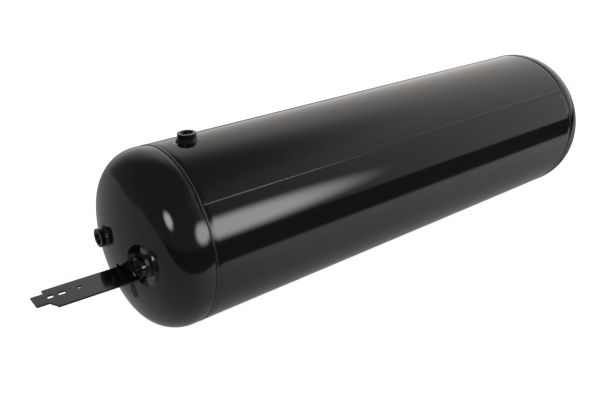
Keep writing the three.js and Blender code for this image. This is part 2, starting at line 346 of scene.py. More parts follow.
@dataclass(frozen=True)
class GlossPaint:
    """Black paint sprayed over steel.

    Lengths are in metres: peel is the size of the orange peel, sheet the length of the slow waves
    of the sheet under the paint, cloud, speck and grit the sizes of the dust's patches, its grains
    and a weld's roughness, and the depths are the heights of the bumps.
    """

    name: str
    roughness: float = 0.07
    peel: float = 2.2 * MM
    peel_depth: float = 0.004 * MM
    sheet: float = 90 * MM
    sheet_depth: float = 0.05 * MM
    dust: float = 0.05
    scratches: float = 0.25
    grit_depth: float = 0.0
    cloud: float = 160 * MM
    speck: float = 1.1 * MM
    grit: float = 0.7 * MM
    hair_depth: float = 0.002 * MM
    nick_depth: float = 0.03 * MM

    def material(self) -> bpy.types.Material:
        """Builds the paint: peel, sheet waves, dust, hairline scratches and small nicks.

        Returns:
            The new material.
        """
        made, graph = blank_material(self.name)
        place = graph.node("ShaderNodeTexCoord").outputs["Object"]
        peel = self._noise(graph, place, 1.0 / self.peel, 2.0)
        waves = self._noise(graph, place, 1.0 / self.sheet, 1.0)
        cloud = self._noise(graph, place, 1.0 / self.cloud, 5.0)
        specks = self._noise(graph, place, 1.0 / self.speck, 2.0)
        hair = self._hairlines(graph, place)
        nick = self._nicks(graph, place)
        dusty = cloud.step(0.42, 0.75) * specks.step(0.52, 0.8) * self.dust
        worn = graph.blend(hair * self.scratches, Tint.BLACK_PAINT.value, Tint.WORN_PAINT.value)
        chipped = graph.blend(nick, worn.socket, Tint.BARE_STEEL.value)
        colour = graph.blend(dusty, chipped.socket, Tint.DUST.value)
        rough = self.roughness + 0.03 * cloud + 0.5 * dusty + 0.12 * hair * self.scratches + 0.25 * nick
        height = peel * self.peel_depth + waves * self.sheet_depth
        height = height - hair * self.hair_depth - nick * self.nick_depth
        if self.grit_depth:
            height = height + self._noise(graph, place, 1.0 / self.grit, 3.0) * self.grit_depth
        bump = graph.node("ShaderNodeBump", None, Strength=1.0, Distance=1.0, Height=height)
        shader = graph.node("ShaderNodeBsdfPrincipled", None, Base_Color=colour, Roughness=rough,
                            Normal=bump.outputs[0], IOR=1.5, Metallic=0.0)
        graph.node("ShaderNodeOutputMaterial", None, Surface=shader.outputs[0])
        return made

    def _noise(self, graph: Graph, place: Any, scale: float, detail: float) -> Value:
        """Soft noise from 0 to 1 at so many cells to the metre."""
        return graph.value("ShaderNodeTexNoise", None, 0, Vector=place, Scale=scale, Detail=detail)

    def _hairlines(self, graph: Graph, place: Any) -> Value:
        """Fine handling scratches: thin level lines of stretched noise, kept in a few patches."""
        stretched = graph.node("ShaderNodeMapping", {"vector_type": "POINT"}, Vector=place,
                               Rotation=(0.3, 0.5, 0.4), Scale=(1.0, 9.0, 14.0)).outputs[0]
        lines = graph.value("ShaderNodeTexNoise", None, 0, Vector=stretched, Scale=34.0, Detail=3.0)
        patches = self._noise(graph, place, 1.0 / (70 * MM), 2.0)
        return lines.band(0.497, 0.503, 0.0015) * patches.step(0.5, 0.62)

    def _nicks(self, graph: Graph, place: Any) -> Value:
        """Small chips: the cores of a few cells of a Voronoi pattern."""
        settings = {"feature": "F1", "distance": "EUCLIDEAN"}
        cell = graph.node("ShaderNodeTexVoronoi", settings, Vector=place, Scale=26.0, Randomness=1.0)
        near = Value(graph, cell.outputs["Distance"])
        pick = graph.value("ShaderNodeSeparateColor", None, 0, Color=cell.outputs["Color"])
        ragged = near + 0.02 * self._noise(graph, place, 900.0, 2.0)
        return (1.0 - ragged.step(0.035, 0.042)) * pick.step(0.93, 0.931)


@dataclass(frozen=True)
class ThreadedSteel:
    """Machined steel of a port's thread, darkened in uneven patches by overspray."""

    name: str
    roughness: float = 0.32

    def material(self) -> bpy.types.Material:
        """Builds the turned steel with fine tool marks and uneven paint mist.

        Returns:
            The new material.
        """
        made, graph = blank_material(self.name)
        place = graph.node("ShaderNodeTexCoord").outputs["Object"]
        mist = graph.value("ShaderNodeTexNoise", None, 0, Vector=place, Scale=260.0, Detail=4.0)
        marks = graph.value("ShaderNodeTexNoise", None, 0, Vector=place, Scale=2600.0, Detail=2.0)
        painted = mist.step(0.35, 0.6)
        colour = graph.blend(painted * 0.85, Tint.BARE_STEEL.value, Tint.BLACK_PAINT.value)
        rough = self.roughness + 0.2 * marks
        bump = graph.node("ShaderNodeBump", None, Strength=1.0, Distance=1.0, Height=marks * (0.01 * MM))
        shader = graph.node("ShaderNodeBsdfPrincipled", None, Base_Color=colour, Roughness=rough,
                            Metallic=0.9 - 0.8 * painted, Normal=bump.outputs[0])
        graph.node("ShaderNodeOutputMaterial", None, Surface=shader.outputs[0])
        return made


SHEET_PAINT = GlossPaint("sheet_paint")
HEAD_PAINT = GlossPaint("head_paint", sheet=60 * MM, sheet_depth=0.03 * MM, dust=0.04, scratches=0.2)
WELD_PAINT = GlossPaint("weld_paint", roughness=0.2, sheet_depth=0.0, dust=0.12, grit_depth=0.02 * MM)
BOSS_PAINT = GlossPaint("boss_paint", roughness=0.1, sheet=12 * MM, sheet_depth=0.01 * MM, dust=0.08)
PLATE_PAINT = GlossPaint("plate_paint", roughness=0.12, sheet=25 * MM, sheet_depth=0.02 * MM, dust=0.1)
THREAD_STEEL = ThreadedSteel("thread_steel")


class Wardrobe:
    """Builds each finish once and hands it out."""

    def __init__(self) -> None:
        """Starts with no finish built."""
        self._made: dict[str, bpy.types.Material] = {}

    def dress(self, piece: bpy.types.Object, finish: GlossPaint | ThreadedSteel) -> None:
        """Adds a finish to a piece's material slots."""
        if finish.name not in self._made:
            self._made[finish.name] = finish.material()
        piece.data.materials.append(self._made[finish.name])


# ---------------------------------------------------------------- the frame's places


@dataclass(frozen=True)
class Places:
    """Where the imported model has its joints, axis and surfaces, in metres."""

    front_joint: float
    rear_joint: float
    axis_height: float
    radius: float
    wall: float = 3 * MM

    @classmethod
    def read(cls) -> "Places":
        """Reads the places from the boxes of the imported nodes."""
        low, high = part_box("shell")
        front = sum(corner.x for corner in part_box("front_girth_weld")) / 2
        rear = sum(corner.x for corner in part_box("rear_girth_weld")) / 2
        return cls(front, rear, (low.z + high.z) / 2, (high.y - low.y) / 2)


@dataclass(frozen=True)
class Part:
    """A finished piece and what it stands for."""

    piece: bpy.types.Object
    node: str
    slot: str

    def enter(self) -> None:
        """Makes the piece ride on the tank and replace its node, and logs its face count."""
        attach(self.piece, "root")
        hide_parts(self.node)
        log.info("%s: %d faces", self.piece.name, len(self.piece.data.polygons))


# ---------------------------------------------------------------- heads


@dataclass(frozen=True)
class Dish:
    """A torispherical dish: a shallow crown sphere that a tighter knuckle joins to the skirt."""

    radius: float
    crown: float = 310 * MM
    knuckle: float = 62 * MM

    def height(self, distance: Array, grow: float = 0.0) -> Array:
        """Height over the knuckle's start at a distance from the axis.

        On the crown it is the height of a sphere whose middle lies behind the dish; on the
        knuckle it is that of a torus section whose middle lies on the start plane.

        Args:
            distance: distance from the tank's axis.
            grow: how far the surface is moved outward.

        Returns:
            The height at each distance.
        """
        ring = self.radius - self.knuckle
        drop = math.sqrt((self.crown - self.knuckle) ** 2 - ring**2)
        edge = (self.crown + grow) * ring / (self.crown - self.knuckle)
        sphere = np.sqrt((self.crown + grow) ** 2 - np.minimum(distance, edge) ** 2) - drop
        reach = np.clip(distance - ring, 0.0, self.knuckle + grow)
        torus = np.sqrt((self.knuckle + grow) ** 2 - reach**2)
        return np.where(distance <= edge, sphere, torus)


@dataclass
class Seat:
    """A flat pressed into a head for a port: its middle, radius and rim, in metres."""

    across: float
    up: float
    radius: float = 33 * MM
    rim: float = 5 * MM
    sink: float = 4.5 * MM

    def share(self, across: Array, up: Array) -> Array:
        """1 on the flat, 0 outside its rim, with a smooth step between."""
        distance = np.hypot(across - self.across, up - self.up)
        return eased((self.radius + self.rim / 2 - distance) / self.rim)


@dataclass
class Head:
    """One dished head, with or without a pressed seat."""

    places: Places
    front: bool
    skirt: float
    seat: Seat | None = None
    gap: float = 0.8 * MM
    columns: int = 256

    def __post_init__(self) -> None:
        """Works out the dish from the shell's radius."""
        self.dish = Dish(self.places.radius)
        self.sign = -1.0 if self.front else 1.0
        self.joint = self.places.front_joint if self.front else self.places.rear_joint

    def surface(self, across: Array, up: Array, grow: float = 0.0) -> Array:
        """X of the head's surface over a point of the end view, moved outward by grow."""
        plain = self.skirt + self.dish.height(np.hypot(across, up), grow)
        if self.seat is None:
            return self.joint + self.sign * plain
        level = self.skirt + self.dish.height(np.hypot(self.seat.across, self.seat.up)) - self.seat.sink
        share = self.seat.share(across, up)
        return self.joint + self.sign * (plain * (1.0 - share) + (level + grow) * share)

    def _end_view(self, radius: float, angles: Array) -> tuple[Array, Array]:
        """Rings of the end view from the seat's middle out to a radius.

        Near the middle the rings are circles round the seat, close together at its rim; further
        out each ring moves from the last such circle to the head's own circle, with the steps
        shrinking like a sine towards the edge, where the knuckle is steep.
        """
        seat = self.seat or Seat(0.0, 0.0)
        inner = seat.radius - seat.rim
        outer = seat.radius + seat.rim
        near = np.concatenate([np.linspace(0, inner, 12), np.linspace(inner, outer, 30)[1:]])
        towards = np.stack([np.cos(angles), np.sin(angles)])
        middle = np.array([seat.across, seat.up])
        along = middle @ towards
        reach = -along + np.sqrt(along**2 + radius**2 - middle @ middle)
        share = np.sin(np.linspace(0, math.pi / 2, 110))[1:, None]
        far = outer + share * (reach[None, :] - outer)
        distance = np.concatenate([np.repeat(near[:, None], len(angles), axis=1), far])
        return middle[0] + distance * towards[0], middle[1] + distance * towards[1]

    def build(self, name: str) -> bpy.types.Object:
        """Makes the head's wall: outer face, skirt, edge and inner face as one closed grid."""
        angles = TURN * np.arange(self.columns) / self.columns
        faces = []
        for grow in (0.0, -self.places.wall):
            across, up = self._end_view(self.places.radius + grow, angles)
            x = self.surface(across, up, grow)
            reach = min(self.skirt, DRAW_REACH)
            sinking = np.append(np.linspace(reach, self.gap + EDGE, 12), self.gap)
            skirt = np.concatenate([np.linspace(self.skirt, reach, 4)[1:-1], sinking])
            skirt_x = self.joint + self.sign * skirt
            shrink = 1.0 - drawn_in(skirt, reach)[:, None] / self.places.radius
            x = np.concatenate([x, np.repeat(skirt_x[:, None], self.columns, axis=1)])
            across = np.concatenate([across, across[-1:] * shrink])
            up = np.concatenate([up, up[-1:] * shrink])
            faces.append(np.stack([x, across, up + self.places.axis_height], axis=-1))
        return closed_mesh(name, np.concatenate([faces[0], faces[1][::-1]]), wrap_rows=False)


# ---------------------------------------------------------------- shell


def drawn_in(distance: Array, reach: float = DRAW_REACH) -> Array:
    """How far the shrinking weld has pulled a plate inward at a distance from the joint."""
    return DRAW_DEPTH * np.clip(1.0 - distance / reach, 0.0, 1.0) ** 1.3


@dataclass
class Shell:
    """The rolled shell between the two girth joints."""

    places: Places
    gap: float = 0.8 * MM
    columns: int = 384
    rows: int = 60

    def build(self, name: str) -> bpy.types.Object:
        """Makes the tube: a closed loop of points along it, turned round the axis."""
        start = self.places.front_joint + self.gap
        end = self.places.rear_joint - self.gap
        near = np.concatenate([[0.0], np.linspace(EDGE, DRAW_REACH, 12)])
        between = np.linspace(start + near[-1], end - near[-1], self.rows)[1:-1]
        along = np.concatenate([start + near, between, end - near[::-1]])
        x = np.concatenate([along, along[::-1]])
        outer = self.places.radius - drawn_in(np.minimum(along - start, end - along) + self.gap)
        radius = np.concatenate([outer, outer[::-1] - self.places.wall])
        angle = TURN * np.arange(self.columns) / self.columns
        across = radius[:, None] * np.cos(angle)
        up = radius[:, None] * np.sin(angle) + self.places.axis_height
        points = np.stack([np.broadcast_to(x[:, None], across.shape), across, up], axis=-1)
        return closed_mesh(name, points, wrap_rows=True)


# ---------------------------------------------------------------- welds on the joints


@dataclass(frozen=True)
class Bead:
    """The cross-section and ripple of a machine-laid weld, in metres."""

    width: float = 4.4 * MM
    height: float = 0.95 * MM
    pitch: float = 2.2 * MM
    ripple: float = 0.16
    sweep: float = 0.55
    uneven: float = 0.07
    root: float = 4.2 * MM
    root_half: float = 2.2 * MM
    root_arch: float = 0.6 * MM

    def section(self, share: Array, phase: Array, drift: Array) -> Array:
        """Height of the bead across its width.

        A rounded crown, one less the square of the share, is raised to a power that steepens
        its toes, then cut by ripples that trail back from the middle.

        Args:
            share: place across the bead, from -1 to 1.
            phase: place along it, counted in ripples.
            drift: slow unevenness along it.

        Returns:
            The height over the plate.
        """
        crown = np.clip(1.0 - share**2, 0.0, 1.0) ** 0.8
        lines = ripple(phase - self.sweep * share**2)
        return self.height * crown * (1.0 - self.ripple * lines) * (1.0 + self.uneven * drift - self.uneven)


@dataclass
class GirthWeld:
    """The ring of weld between the shell and a head, with a lump where the seam meets it.

    meeting and lump_arc are shares of a turn; sunk is how far the ring lies below the shell.
    """

    places: Places
    joint: float
    seed: int
    bead: Bead = field(default_factory=Bead)
    columns: int = 1900
    meeting: float = 1.0 - SEAM_ANGLE / 360
    lump_arc: float = 0.014
    lump_rise: float = 0.45 * MM
    lump_reach: float = 4.0 * MM
    sunk: float = 0.55 * MM
    swing: float = 0.25 * MM

    def build(self, name: str) -> bpy.types.Object:
        """Makes the ring: the bead's section carried round the tank, closed by its root inside."""
        share = np.concatenate([[-1.0], np.linspace(-1, 1, 15), [1.0]])[:, None]
        turn = (np.arange(self.columns) / self.columns)[None, :]
        count = round(TURN * self.places.radius / self.bead.pitch)
        drift = wander(turn, 23, self.seed)
        height = self.bead.section(share, turn * count + PHASE_DRIFT * drift, drift)
        lip = np.zeros_like(share)
        lip[0] = lip[-1] = -LIP
        lump = np.exp(-(((turn - self.meeting) / self.lump_arc) ** 2))
        height = height + self.lump_rise * lump * (1.0 - share**2)
        radius = self.places.radius - self.sunk + height + lip
        x = self.joint + share * self.bead.width / 2 + self.swing * wander(turn, 31, self.seed + 1)
        x = x - self.lump_reach * lump * (1.0 - share) / 2
        inside = np.full((3, self.columns), self.places.radius - self.bead.root)
        inside[1] -= self.bead.root_arch
        inside_x = self.joint + np.array([[1.0], [0.0], [-1.0]]) * self.bead.root_half + np.zeros_like(turn)
        radius = np.concatenate([radius, inside])
        x = np.concatenate([x, inside_x])
        across = radius * np.sin(TURN * turn)
        up = radius * np.cos(TURN * turn) + self.places.axis_height
        return closed_mesh(name, np.stack([x, across, up], axis=-1), wrap_rows=True)


@dataclass
class SeamWeld:
    """The lengthwise weld of the shell.

    Over its first heavy_start it is laid in coarser passes, with a groove down its middle.
    start_height and groove_depth are shares of the bead's height, start_rate is the share of its
    usual number of passes, and groove_width a share of its half width.
    """

    places: Places
    angle: float = math.radians(SEAM_ANGLE)
    bead: Bead = field(
        default_factory=lambda: Bead(
            width=7.0 * MM,
            height=0.65 * MM,
            pitch=2.4 * MM,
            ripple=0.3,
            root_half=2.0 * MM,
            root_arch=0.5 * MM,
        )
    )
    rows: int = 1500
    seed: int = 11
    heavy_start: float = 62 * MM
    start_height: float = 0.25
    start_rate: float = 0.45
    groove_depth: float = 0.5
    groove_width: float = 0.35
    setback: float = 3.9 * MM
    lift: float = 0.02 * MM
    swing: float = 0.2 * MM

    def build(self, name: str) -> bpy.types.Object:
        """Makes the bead along the shell: its section moved along X, closed by its root inside."""
        start = self.places.front_joint + self.setback
        end = self.places.rear_joint - self.setback
        along = np.linspace(0, 1, self.rows)[:, None]
        share = np.concatenate([[-1.0], np.linspace(-1, 1, 13), [1.0]])[None, :]
        drift = wander(along, 60, self.seed)
        count = (end - start) / self.bead.pitch
        height = self.bead.section(share, along * count + PHASE_DRIFT * drift, drift)
        first = 1.0 - eased(along * (end - start) / self.heavy_start)
        passes = 1.0 - 2.0 * ripple(along * count * self.start_rate)
        height = height * (1.0 + self.start_height * first * passes)
        groove = np.exp(-((share / self.groove_width) ** 2))
        height = height * (1.0 - self.groove_depth * first * groove)
        lip = np.zeros_like(share)
        lip[0, 0] = lip[0, -1] = -LIP
        lift = self.places.radius + self.lift + height + lip
        side = share * self.bead.width / 2 + self.swing * wander(along, 45, self.seed + 1)
        root_share = np.array([[1.0, 0.0, -1.0]])
        root = self.places.radius - self.bead.root - self.bead.root_arch * (1 - root_share**2) + 0 * along
        lift = np.concatenate([lift - side**2 / (2 * self.places.radius), root], axis=1)
        side = np.concatenate([side, root_share * self.bead.root_half + 0 * along], axis=1)
        x = np.broadcast_to(start + along * (end - start), lift.shape)
        across = -lift * math.sin(self.angle) - side * math.cos(self.angle)
        up = lift * math.cos(self.angle) - side * math.sin(self.angle) + self.places.axis_height
        points = np.stack([x, across, up], axis=-1)
        ends = [points[i : i + 1].mean(axis=1, keepdims=True) + 0 * points[i : i + 1] for i in (0, -1)]
        return closed_mesh(name, np.concatenate([ends[0], points, ends[1]]), wrap_rows=False)


# ---------------------------------------------------------------- ports


@dataclass
class Port:
    """A threaded round boss with its fillet weld, built about its own axis.

    The boss's own frame has w along its axis, out of the tank, and u and v across it; place moves
    such points into the tank's frame, and ground gives the plate's height w under a point.
    """

    origin: Vector
    out: Vector
    side: Vector
    ground: Callable[[Array, Array], Array]
    seed: int
    radius: float = 15.95 * MM
    height: float = 12.5 * MM
    chamfer: float = 0.8 * MM
    bore: float = 10.2 * MM
    thread_depth: float = 0.8 * MM
    pitch: float = 1.5 * MM
    spigot: float = 13 * MM
    wall: float = 3 * MM
    collar: float = 19.4 * MM
    collar_height: float = 4.2 * MM
    toe_swing: float = 0.35 * MM
    toe_scallop: float = 0.15 * MM
    passes: int = 34
    columns: int = 240

    def place(self, u: Array, v: Array, w: Array) -> Array:
        """Moves points of the boss's own frame into the tank's frame."""
        third = self.out.cross(self.side)
        axes = [np.array(axis) for axis in (self.side, third, self.out)]
        u, v, w = np.broadcast_arrays(u, v, w)
        offset = u[..., None] * axes[0] + v[..., None] * axes[1] + w[..., None] * axes[2]
        return np.array(self.origin) + offset

    def _turned(
        self, name: str, angle: Array, radius: Array, height: Array, wrap_rows: bool = True
    ) -> bpy.types.Object:
        """Makes a piece of rings of points round the boss's axis."""
        points = self.place(radius * np.cos(angle), radius * np.sin(angle), height)
        return closed_mesh(name, points, wrap_rows)

    def build_boss(self, name: str) -> bpy.types.Object:
        """Makes the boss.

        Going up the side, over the broken edge, across the ring, down the cut thread and back
        outside the spigot, each row is a ring of points; the thread's radius is the core radius
        plus a triangular wave of the height less the turn times the pitch.
        """
        angle = (TURN * np.arange(self.columns) / self.columns)[None, :]
        flat_ring = np.zeros_like(angle)
        side = flat_ring + self.radius
        ring = self.radius - self.chamfer
        foot = self._foot(angle, side) - 0.5 * MM
        crease = 0.12 * MM
        shoulder = self.height - self.chamfer
        rows: list[tuple[Array, Array]] = []
        for share in np.linspace(0, 1, 8):
            rows.append((side, foot + (shoulder - crease - foot) * share))
        for share in np.linspace(0, 1, 7):
            bend = share * math.pi / 2
            out, rise = self.chamfer * math.cos(bend), self.chamfer * math.sin(bend)
            rows.append((flat_ring + ring + out, flat_ring + shoulder + rise))
        lead = 1.2 * MM
        mouth = self.bore + lead
        for radius in (ring - crease, ring - 0.6 * MM, mouth + 0.5 * MM, mouth + crease):
            rows.append((flat_ring + radius, flat_ring + self.height))
        depth = np.linspace(0, self.height + self.wall, 128)
        for down in depth:
            cut = np.maximum(self.bore + lead - down, self.bore)
            phase = (down / self.pitch + angle / TURN) % 1.0
            tooth = self.thread_depth * np.abs(2.0 * phase - 1.0)
            rows.append((np.maximum(self.bore + tooth, cut), flat_ring + self.height - down))
        rows.append((flat_ring + self.spigot, flat_ring - self.wall))
        rows.append((flat_ring + self.spigot, foot))
        radius = np.concatenate([np.broadcast_to(row[0], angle.shape) for row in rows])
        height = np.concatenate([np.broadcast_to(row[1], angle.shape) for row in rows])
        boss = self._turned(name, angle, radius, height)
        self._mark_thread(boss)
        return boss

    def _mark_thread(self, boss: bpy.types.Object) -> None:
        """Gives the faces inside the bore the second material slot."""
        count = len(boss.data.polygons)
        centres = np.empty(count * 3, np.float32)
        boss.data.polygons.foreach_get("center", centres)
        offset = centres.reshape(-1, 3) - np.array(self.origin, np.float32)
        along = offset @ np.array(self.out, np.float32)
        distance = np.linalg.norm(offset - along[:, None] * np.array(self.out, np.float32), axis=1)
        inside = (distance < self.bore + self.thread_depth + 0.1 * MM) & (along < self.height - 0.6 * MM)
        boss.data.polygons.foreach_set("material_index", inside.astype(np.int32))

    def _foot(self, angle: Array, radius: Array) -> Array:
        """Height of the plate under points at a radius."""
        return self.ground(radius * np.cos(angle), radius * np.sin(angle))

    def build_weld(self, name: str) -> bpy.types.Object:
        """Makes the fillet weld: a hollow curve from the boss to the plate, with scalloped toes.

        Across the weld the height falls as one less the share, to the power 1.35; round it, the
        toe swings in and out with the passes and each pass has its own ripples.
        """
        columns = 420
        angle = (TURN * np.arange(columns) / columns)[None, :]
        turn = angle / TURN
        drift = wander(turn, 9, self.seed)
        inner = np.full_like(angle, self.radius - 0.2 * MM)
        toe = self.collar + self.toe_swing * drift
        toe = toe + self.toe_scallop * np.cos(TURN * turn * self.passes)
        share = np.linspace(0, 1, 16)[:, None]
        radius = inner + (toe - inner) * share
        lines = ripple(turn * self.passes + 0.3 * drift + 0.5 * share**2)
        lift = self.collar_height * (1.0 + 0.14 * drift) * (1.0 - share) ** 1.35
        body = 0.5 * MM * np.sin(math.pi * share) * (1.0 - 0.55 * lines)
        height = self._foot(angle, radius) + lift + body - 0.25 * MM * share**6
        base_in = self._foot(angle, inner) - 1.0 * MM
        base_out = self._foot(angle, toe) - 1.0 * MM
        radius = np.concatenate([radius, toe, inner])
        height = np.concatenate([height, base_out, base_in])
        return self._turned(name, angle, radius, height)

    def cutter(self) -> bpy.types.Object:
        """A closed rod on the port's axis that clears its spigot, for drilling the plate."""
        angle = (TURN * np.arange(96) / 96)[None, :]
        radius = np.array([[0.0], [1.0], [1.0], [0.0]]) * (self.spigot + 0.3 * MM)
        height = np.array([[-1.0], [-1.0], [1.0], [1.0]]) * 30 * MM + 0 * angle
        return self._turned("drill", angle, radius, height, wrap_rows=False)


# ---------------------------------------------------------------- bracket


@dataclass
class Bracket:
    """The flat strap welded to the front head, with the foot that lies against the head."""

    head: Head
    top: float
    width: float = 61 * MM
    thickness: float = 3 * MM
    reach: float = 146 * MM
    middle: float = -36 * MM
    turn: float = math.radians(-3)
    tongue_length: float = 20 * MM
    tongue_width: float = 32 * MM
    tongue_offset: float = 3.5 * MM
    slope: float = 7 * MM
    hole_offset: float = 5 * MM
    foot_drop: float = 46 * MM
    foot_width: float = 33 * MM
    bead: float = 6.3 * MM
    bead_height: float = 2.3 * MM
    bead_pitch: float = 2.6 * MM
    edge: float = 0.35 * MM
    holes: tuple[tuple[float, float, float, float], ...] = (
        (26 * MM, 9 * MM, 9 * MM, SQUARE),
        (44 * MM, 11 * MM, 8.5 * MM, SQUARE),
        (71 * MM, 6.6 * MM, 6.6 * MM, ROUND),
    )

    def __post_init__(self) -> None:
        """Finds the strap's own origin, over the head's crown."""
        self.root = float(self.head.surface(np.array(0.0), np.array(0.0)))

    def moved(self, points: Array) -> Array:
        """Turns points of the strap's own frame and moves them to the head."""
        cosine, sine = math.cos(self.turn), math.sin(self.turn)
        x = points[..., 0] * cosine - points[..., 1] * sine + self.root
        y = points[..., 0] * sine + points[..., 1] * cosine + self.middle
        return np.stack([x, y, points[..., 2] + self.top], axis=-1)

    def _root_edge(self) -> list[tuple[float, float]]:
        """The strap's end against the head: points across its width that follow the dish."""
        level = self.top - self.head.places.axis_height
        y = np.linspace(-self.width / 2, self.width / 2, 24)
        x = np.zeros_like(y)
        for _ in range(6):
            across = x * math.sin(self.turn) + y * math.cos(self.turn) + self.middle
            wanted = self.head.surface(across, np.full_like(across, level)) - self.root + 0.4 * MM
            x = (wanted + y * math.sin(self.turn)) / math.cos(self.turn)
        return list(zip(x.tolist(), y.tolist()))

    def _outline(self) -> list[tuple[float, float]]:
        """The strap's outline: root edge, far side, tongue and sloped near shoulder."""
        half = self.width / 2
        shoulder = -self.reach + self.tongue_length
        far = self.tongue_offset + self.tongue_width / 2
        near = self.tongue_offset - self.tongue_width / 2
        bend = np.linspace(0, 1, 9)
        swing_x = shoulder + self.slope * eased(bend) ** 0.8
        swing_y = near + (-half - near) * bend
        points = self._root_edge()
        points += [(shoulder, half), (shoulder, far), (-self.reach, far), (-self.reach, near)]
        return points + list(zip(swing_x.tolist(), swing_y.tolist()))

    def _hole(self, back: float, length: float, width: float, power: float) -> list[tuple[float, float]]:
        """One hole of the strap: a superellipse at a distance from the tongue's end."""
        angle = TURN * np.arange(48) / 48
        bulge = (np.abs(np.cos(angle)) ** power + np.abs(np.sin(angle)) ** power) ** (-1 / power)
        x = -self.reach + back + bulge * np.cos(angle) * length / 2
        y = self.hole_offset + bulge * np.sin(angle) * width / 2
        return list(zip(x.tolist(), y.tolist()))

    def _strap(self) -> bpy.types.Object:
        """Makes the plate from its flat outlines, with its edges rounded over."""
        curve = bpy.data.curves.new("strap", "CURVE")
        curve.dimensions = "2D"
        curve.fill_mode = "BOTH"
        curve.extrude = self.thickness / 2 - self.edge
        curve.bevel_depth = self.edge
        curve.bevel_resolution = 2
        curve.offset = -self.edge
        for outline in [self._outline()] + [self._hole(*hole) for hole in self.holes]:
            spline = curve.splines.new("POLY")
            spline.points.add(len(outline) - 1)
            flat = [value for x, y in outline for value in (x, y, 0.0, 1.0)]
            spline.points.foreach_set("co", flat)
            spline.use_cyclic_u = True
        drawn = linked("strap", curve)
        bpy.context.view_layer.update()
        mesh = bpy.data.meshes.new_from_object(drawn.evaluated_get(bpy.context.evaluated_depsgraph_get()))
        bpy.data.objects.remove(drawn)
        points = np.empty(len(mesh.vertices) * 3, np.float32)
        mesh.vertices.foreach_get("co", points)
        points = points.reshape(-1, 3)
        points[:, 2] -= self.thickness / 2
        mesh.vertices.foreach_set("co", self.moved(points).astype(np.float32).ravel())
        tidy_mesh(mesh, smooth=False)
        return linked("strap", mesh)

    def _against_head(
        self,
        name: str,
        side: tuple[float, float],
        rise: tuple[float, float],
        thickness: Callable[[Array, Array], Array],
    ) -> bpy.types.Object:
        """A patch that lies on the head.

        Across the patch and down it, the inner face follows the dish and the outer face stands
        off it by the given thickness; the two meet at the patch's edges.

        Args:
            name: the patch's name.
            side: its two sides across the strap.
            rise: its upper and lower ends, from the strap's top face.
            thickness: the height over the head at shares from 0 to 1 across and down.

        Returns:
            The new object.
        """
        across_share = np.linspace(0, 1, 25)[:, None]
        down_share = np.linspace(0, 1, 49)[None, :]
        y = side[0] + (side[1] - side[0]) * across_share + 0 * down_share + self.middle
        up = self.top + rise[0] + (rise[1] - rise[0]) * down_share + 0 * across_share
        base = self.head.surface(y, up - self.head.places.axis_height)
        outer = np.stack([base - 0.1 * MM - thickness(across_share, down_share), y, up], axis=-1)
        inner = np.stack([base + 0.2 * MM, y, up], axis=-1)
        loop = np.concatenate([outer, inner[:, ::-1]], axis=1)
        caps = [loop[i : i + 1].mean(axis=1, keepdims=True) + 0 * loop[i : i + 1] for i in (0, -1)]
        return closed_mesh(name, np.concatenate([caps[0], loop, caps[1]]), wrap_rows=False)

    def build(self, name: str) -> bpy.types.Object:
        """Makes the strap and its foot as one piece."""
        half = self.width / 2

        def full(across: Array, down: Array) -> Array:
            return self.thickness + 0 * across * down

        foot = self._against_head("foot", (half - self.foot_width, half), (0.0, -self.foot_drop), full)
        return joined(name, [self._strap(), foot])

    def _bead(
        self, name: str, side: tuple[float, float], rise: tuple[float, float], seed: int
    ) -> bpy.types.Object:
        """Makes a rounded bead down the head, with a ripple every few millimetres."""

        def height(across: Array, down: Array) -> Array:
            ends = np.clip(np.minimum(down, 1 - down) * 9, 0, 1) ** 0.5
            crown = np.sqrt(np.clip(1 - (2 * across - 1) ** 2, 0, 1))
            lines = ripple(down * (rise[0] - rise[1]) / self.bead_pitch - 0.5 * across)
            return self.bead_height * ends * crown * (1 - 0.18 * lines + 0.1 * wander(down, 5, seed))

        return self._against_head(name, side, rise, height)

    def build_left_weld(self, name: str) -> bpy.types.Object:
        """Makes the short bead at the strap's left side."""
        start = self.width / 2 - 0.6 * MM
        return self._bead(name, (start, start + self.bead), (2.6 * MM, -11.6 * MM), 41)

    def build_right_weld(self, name: str) -> bpy.types.Object:
        """Makes the bead beside the foot, from under the strap down to the foot's end."""
        start = self.width / 2 - self.foot_width + 0.6 * MM
        return self._bead(name, (start - self.bead, start), (-self.thickness, -self.foot_drop), 43)


# ---------------------------------------------------------------- assembly


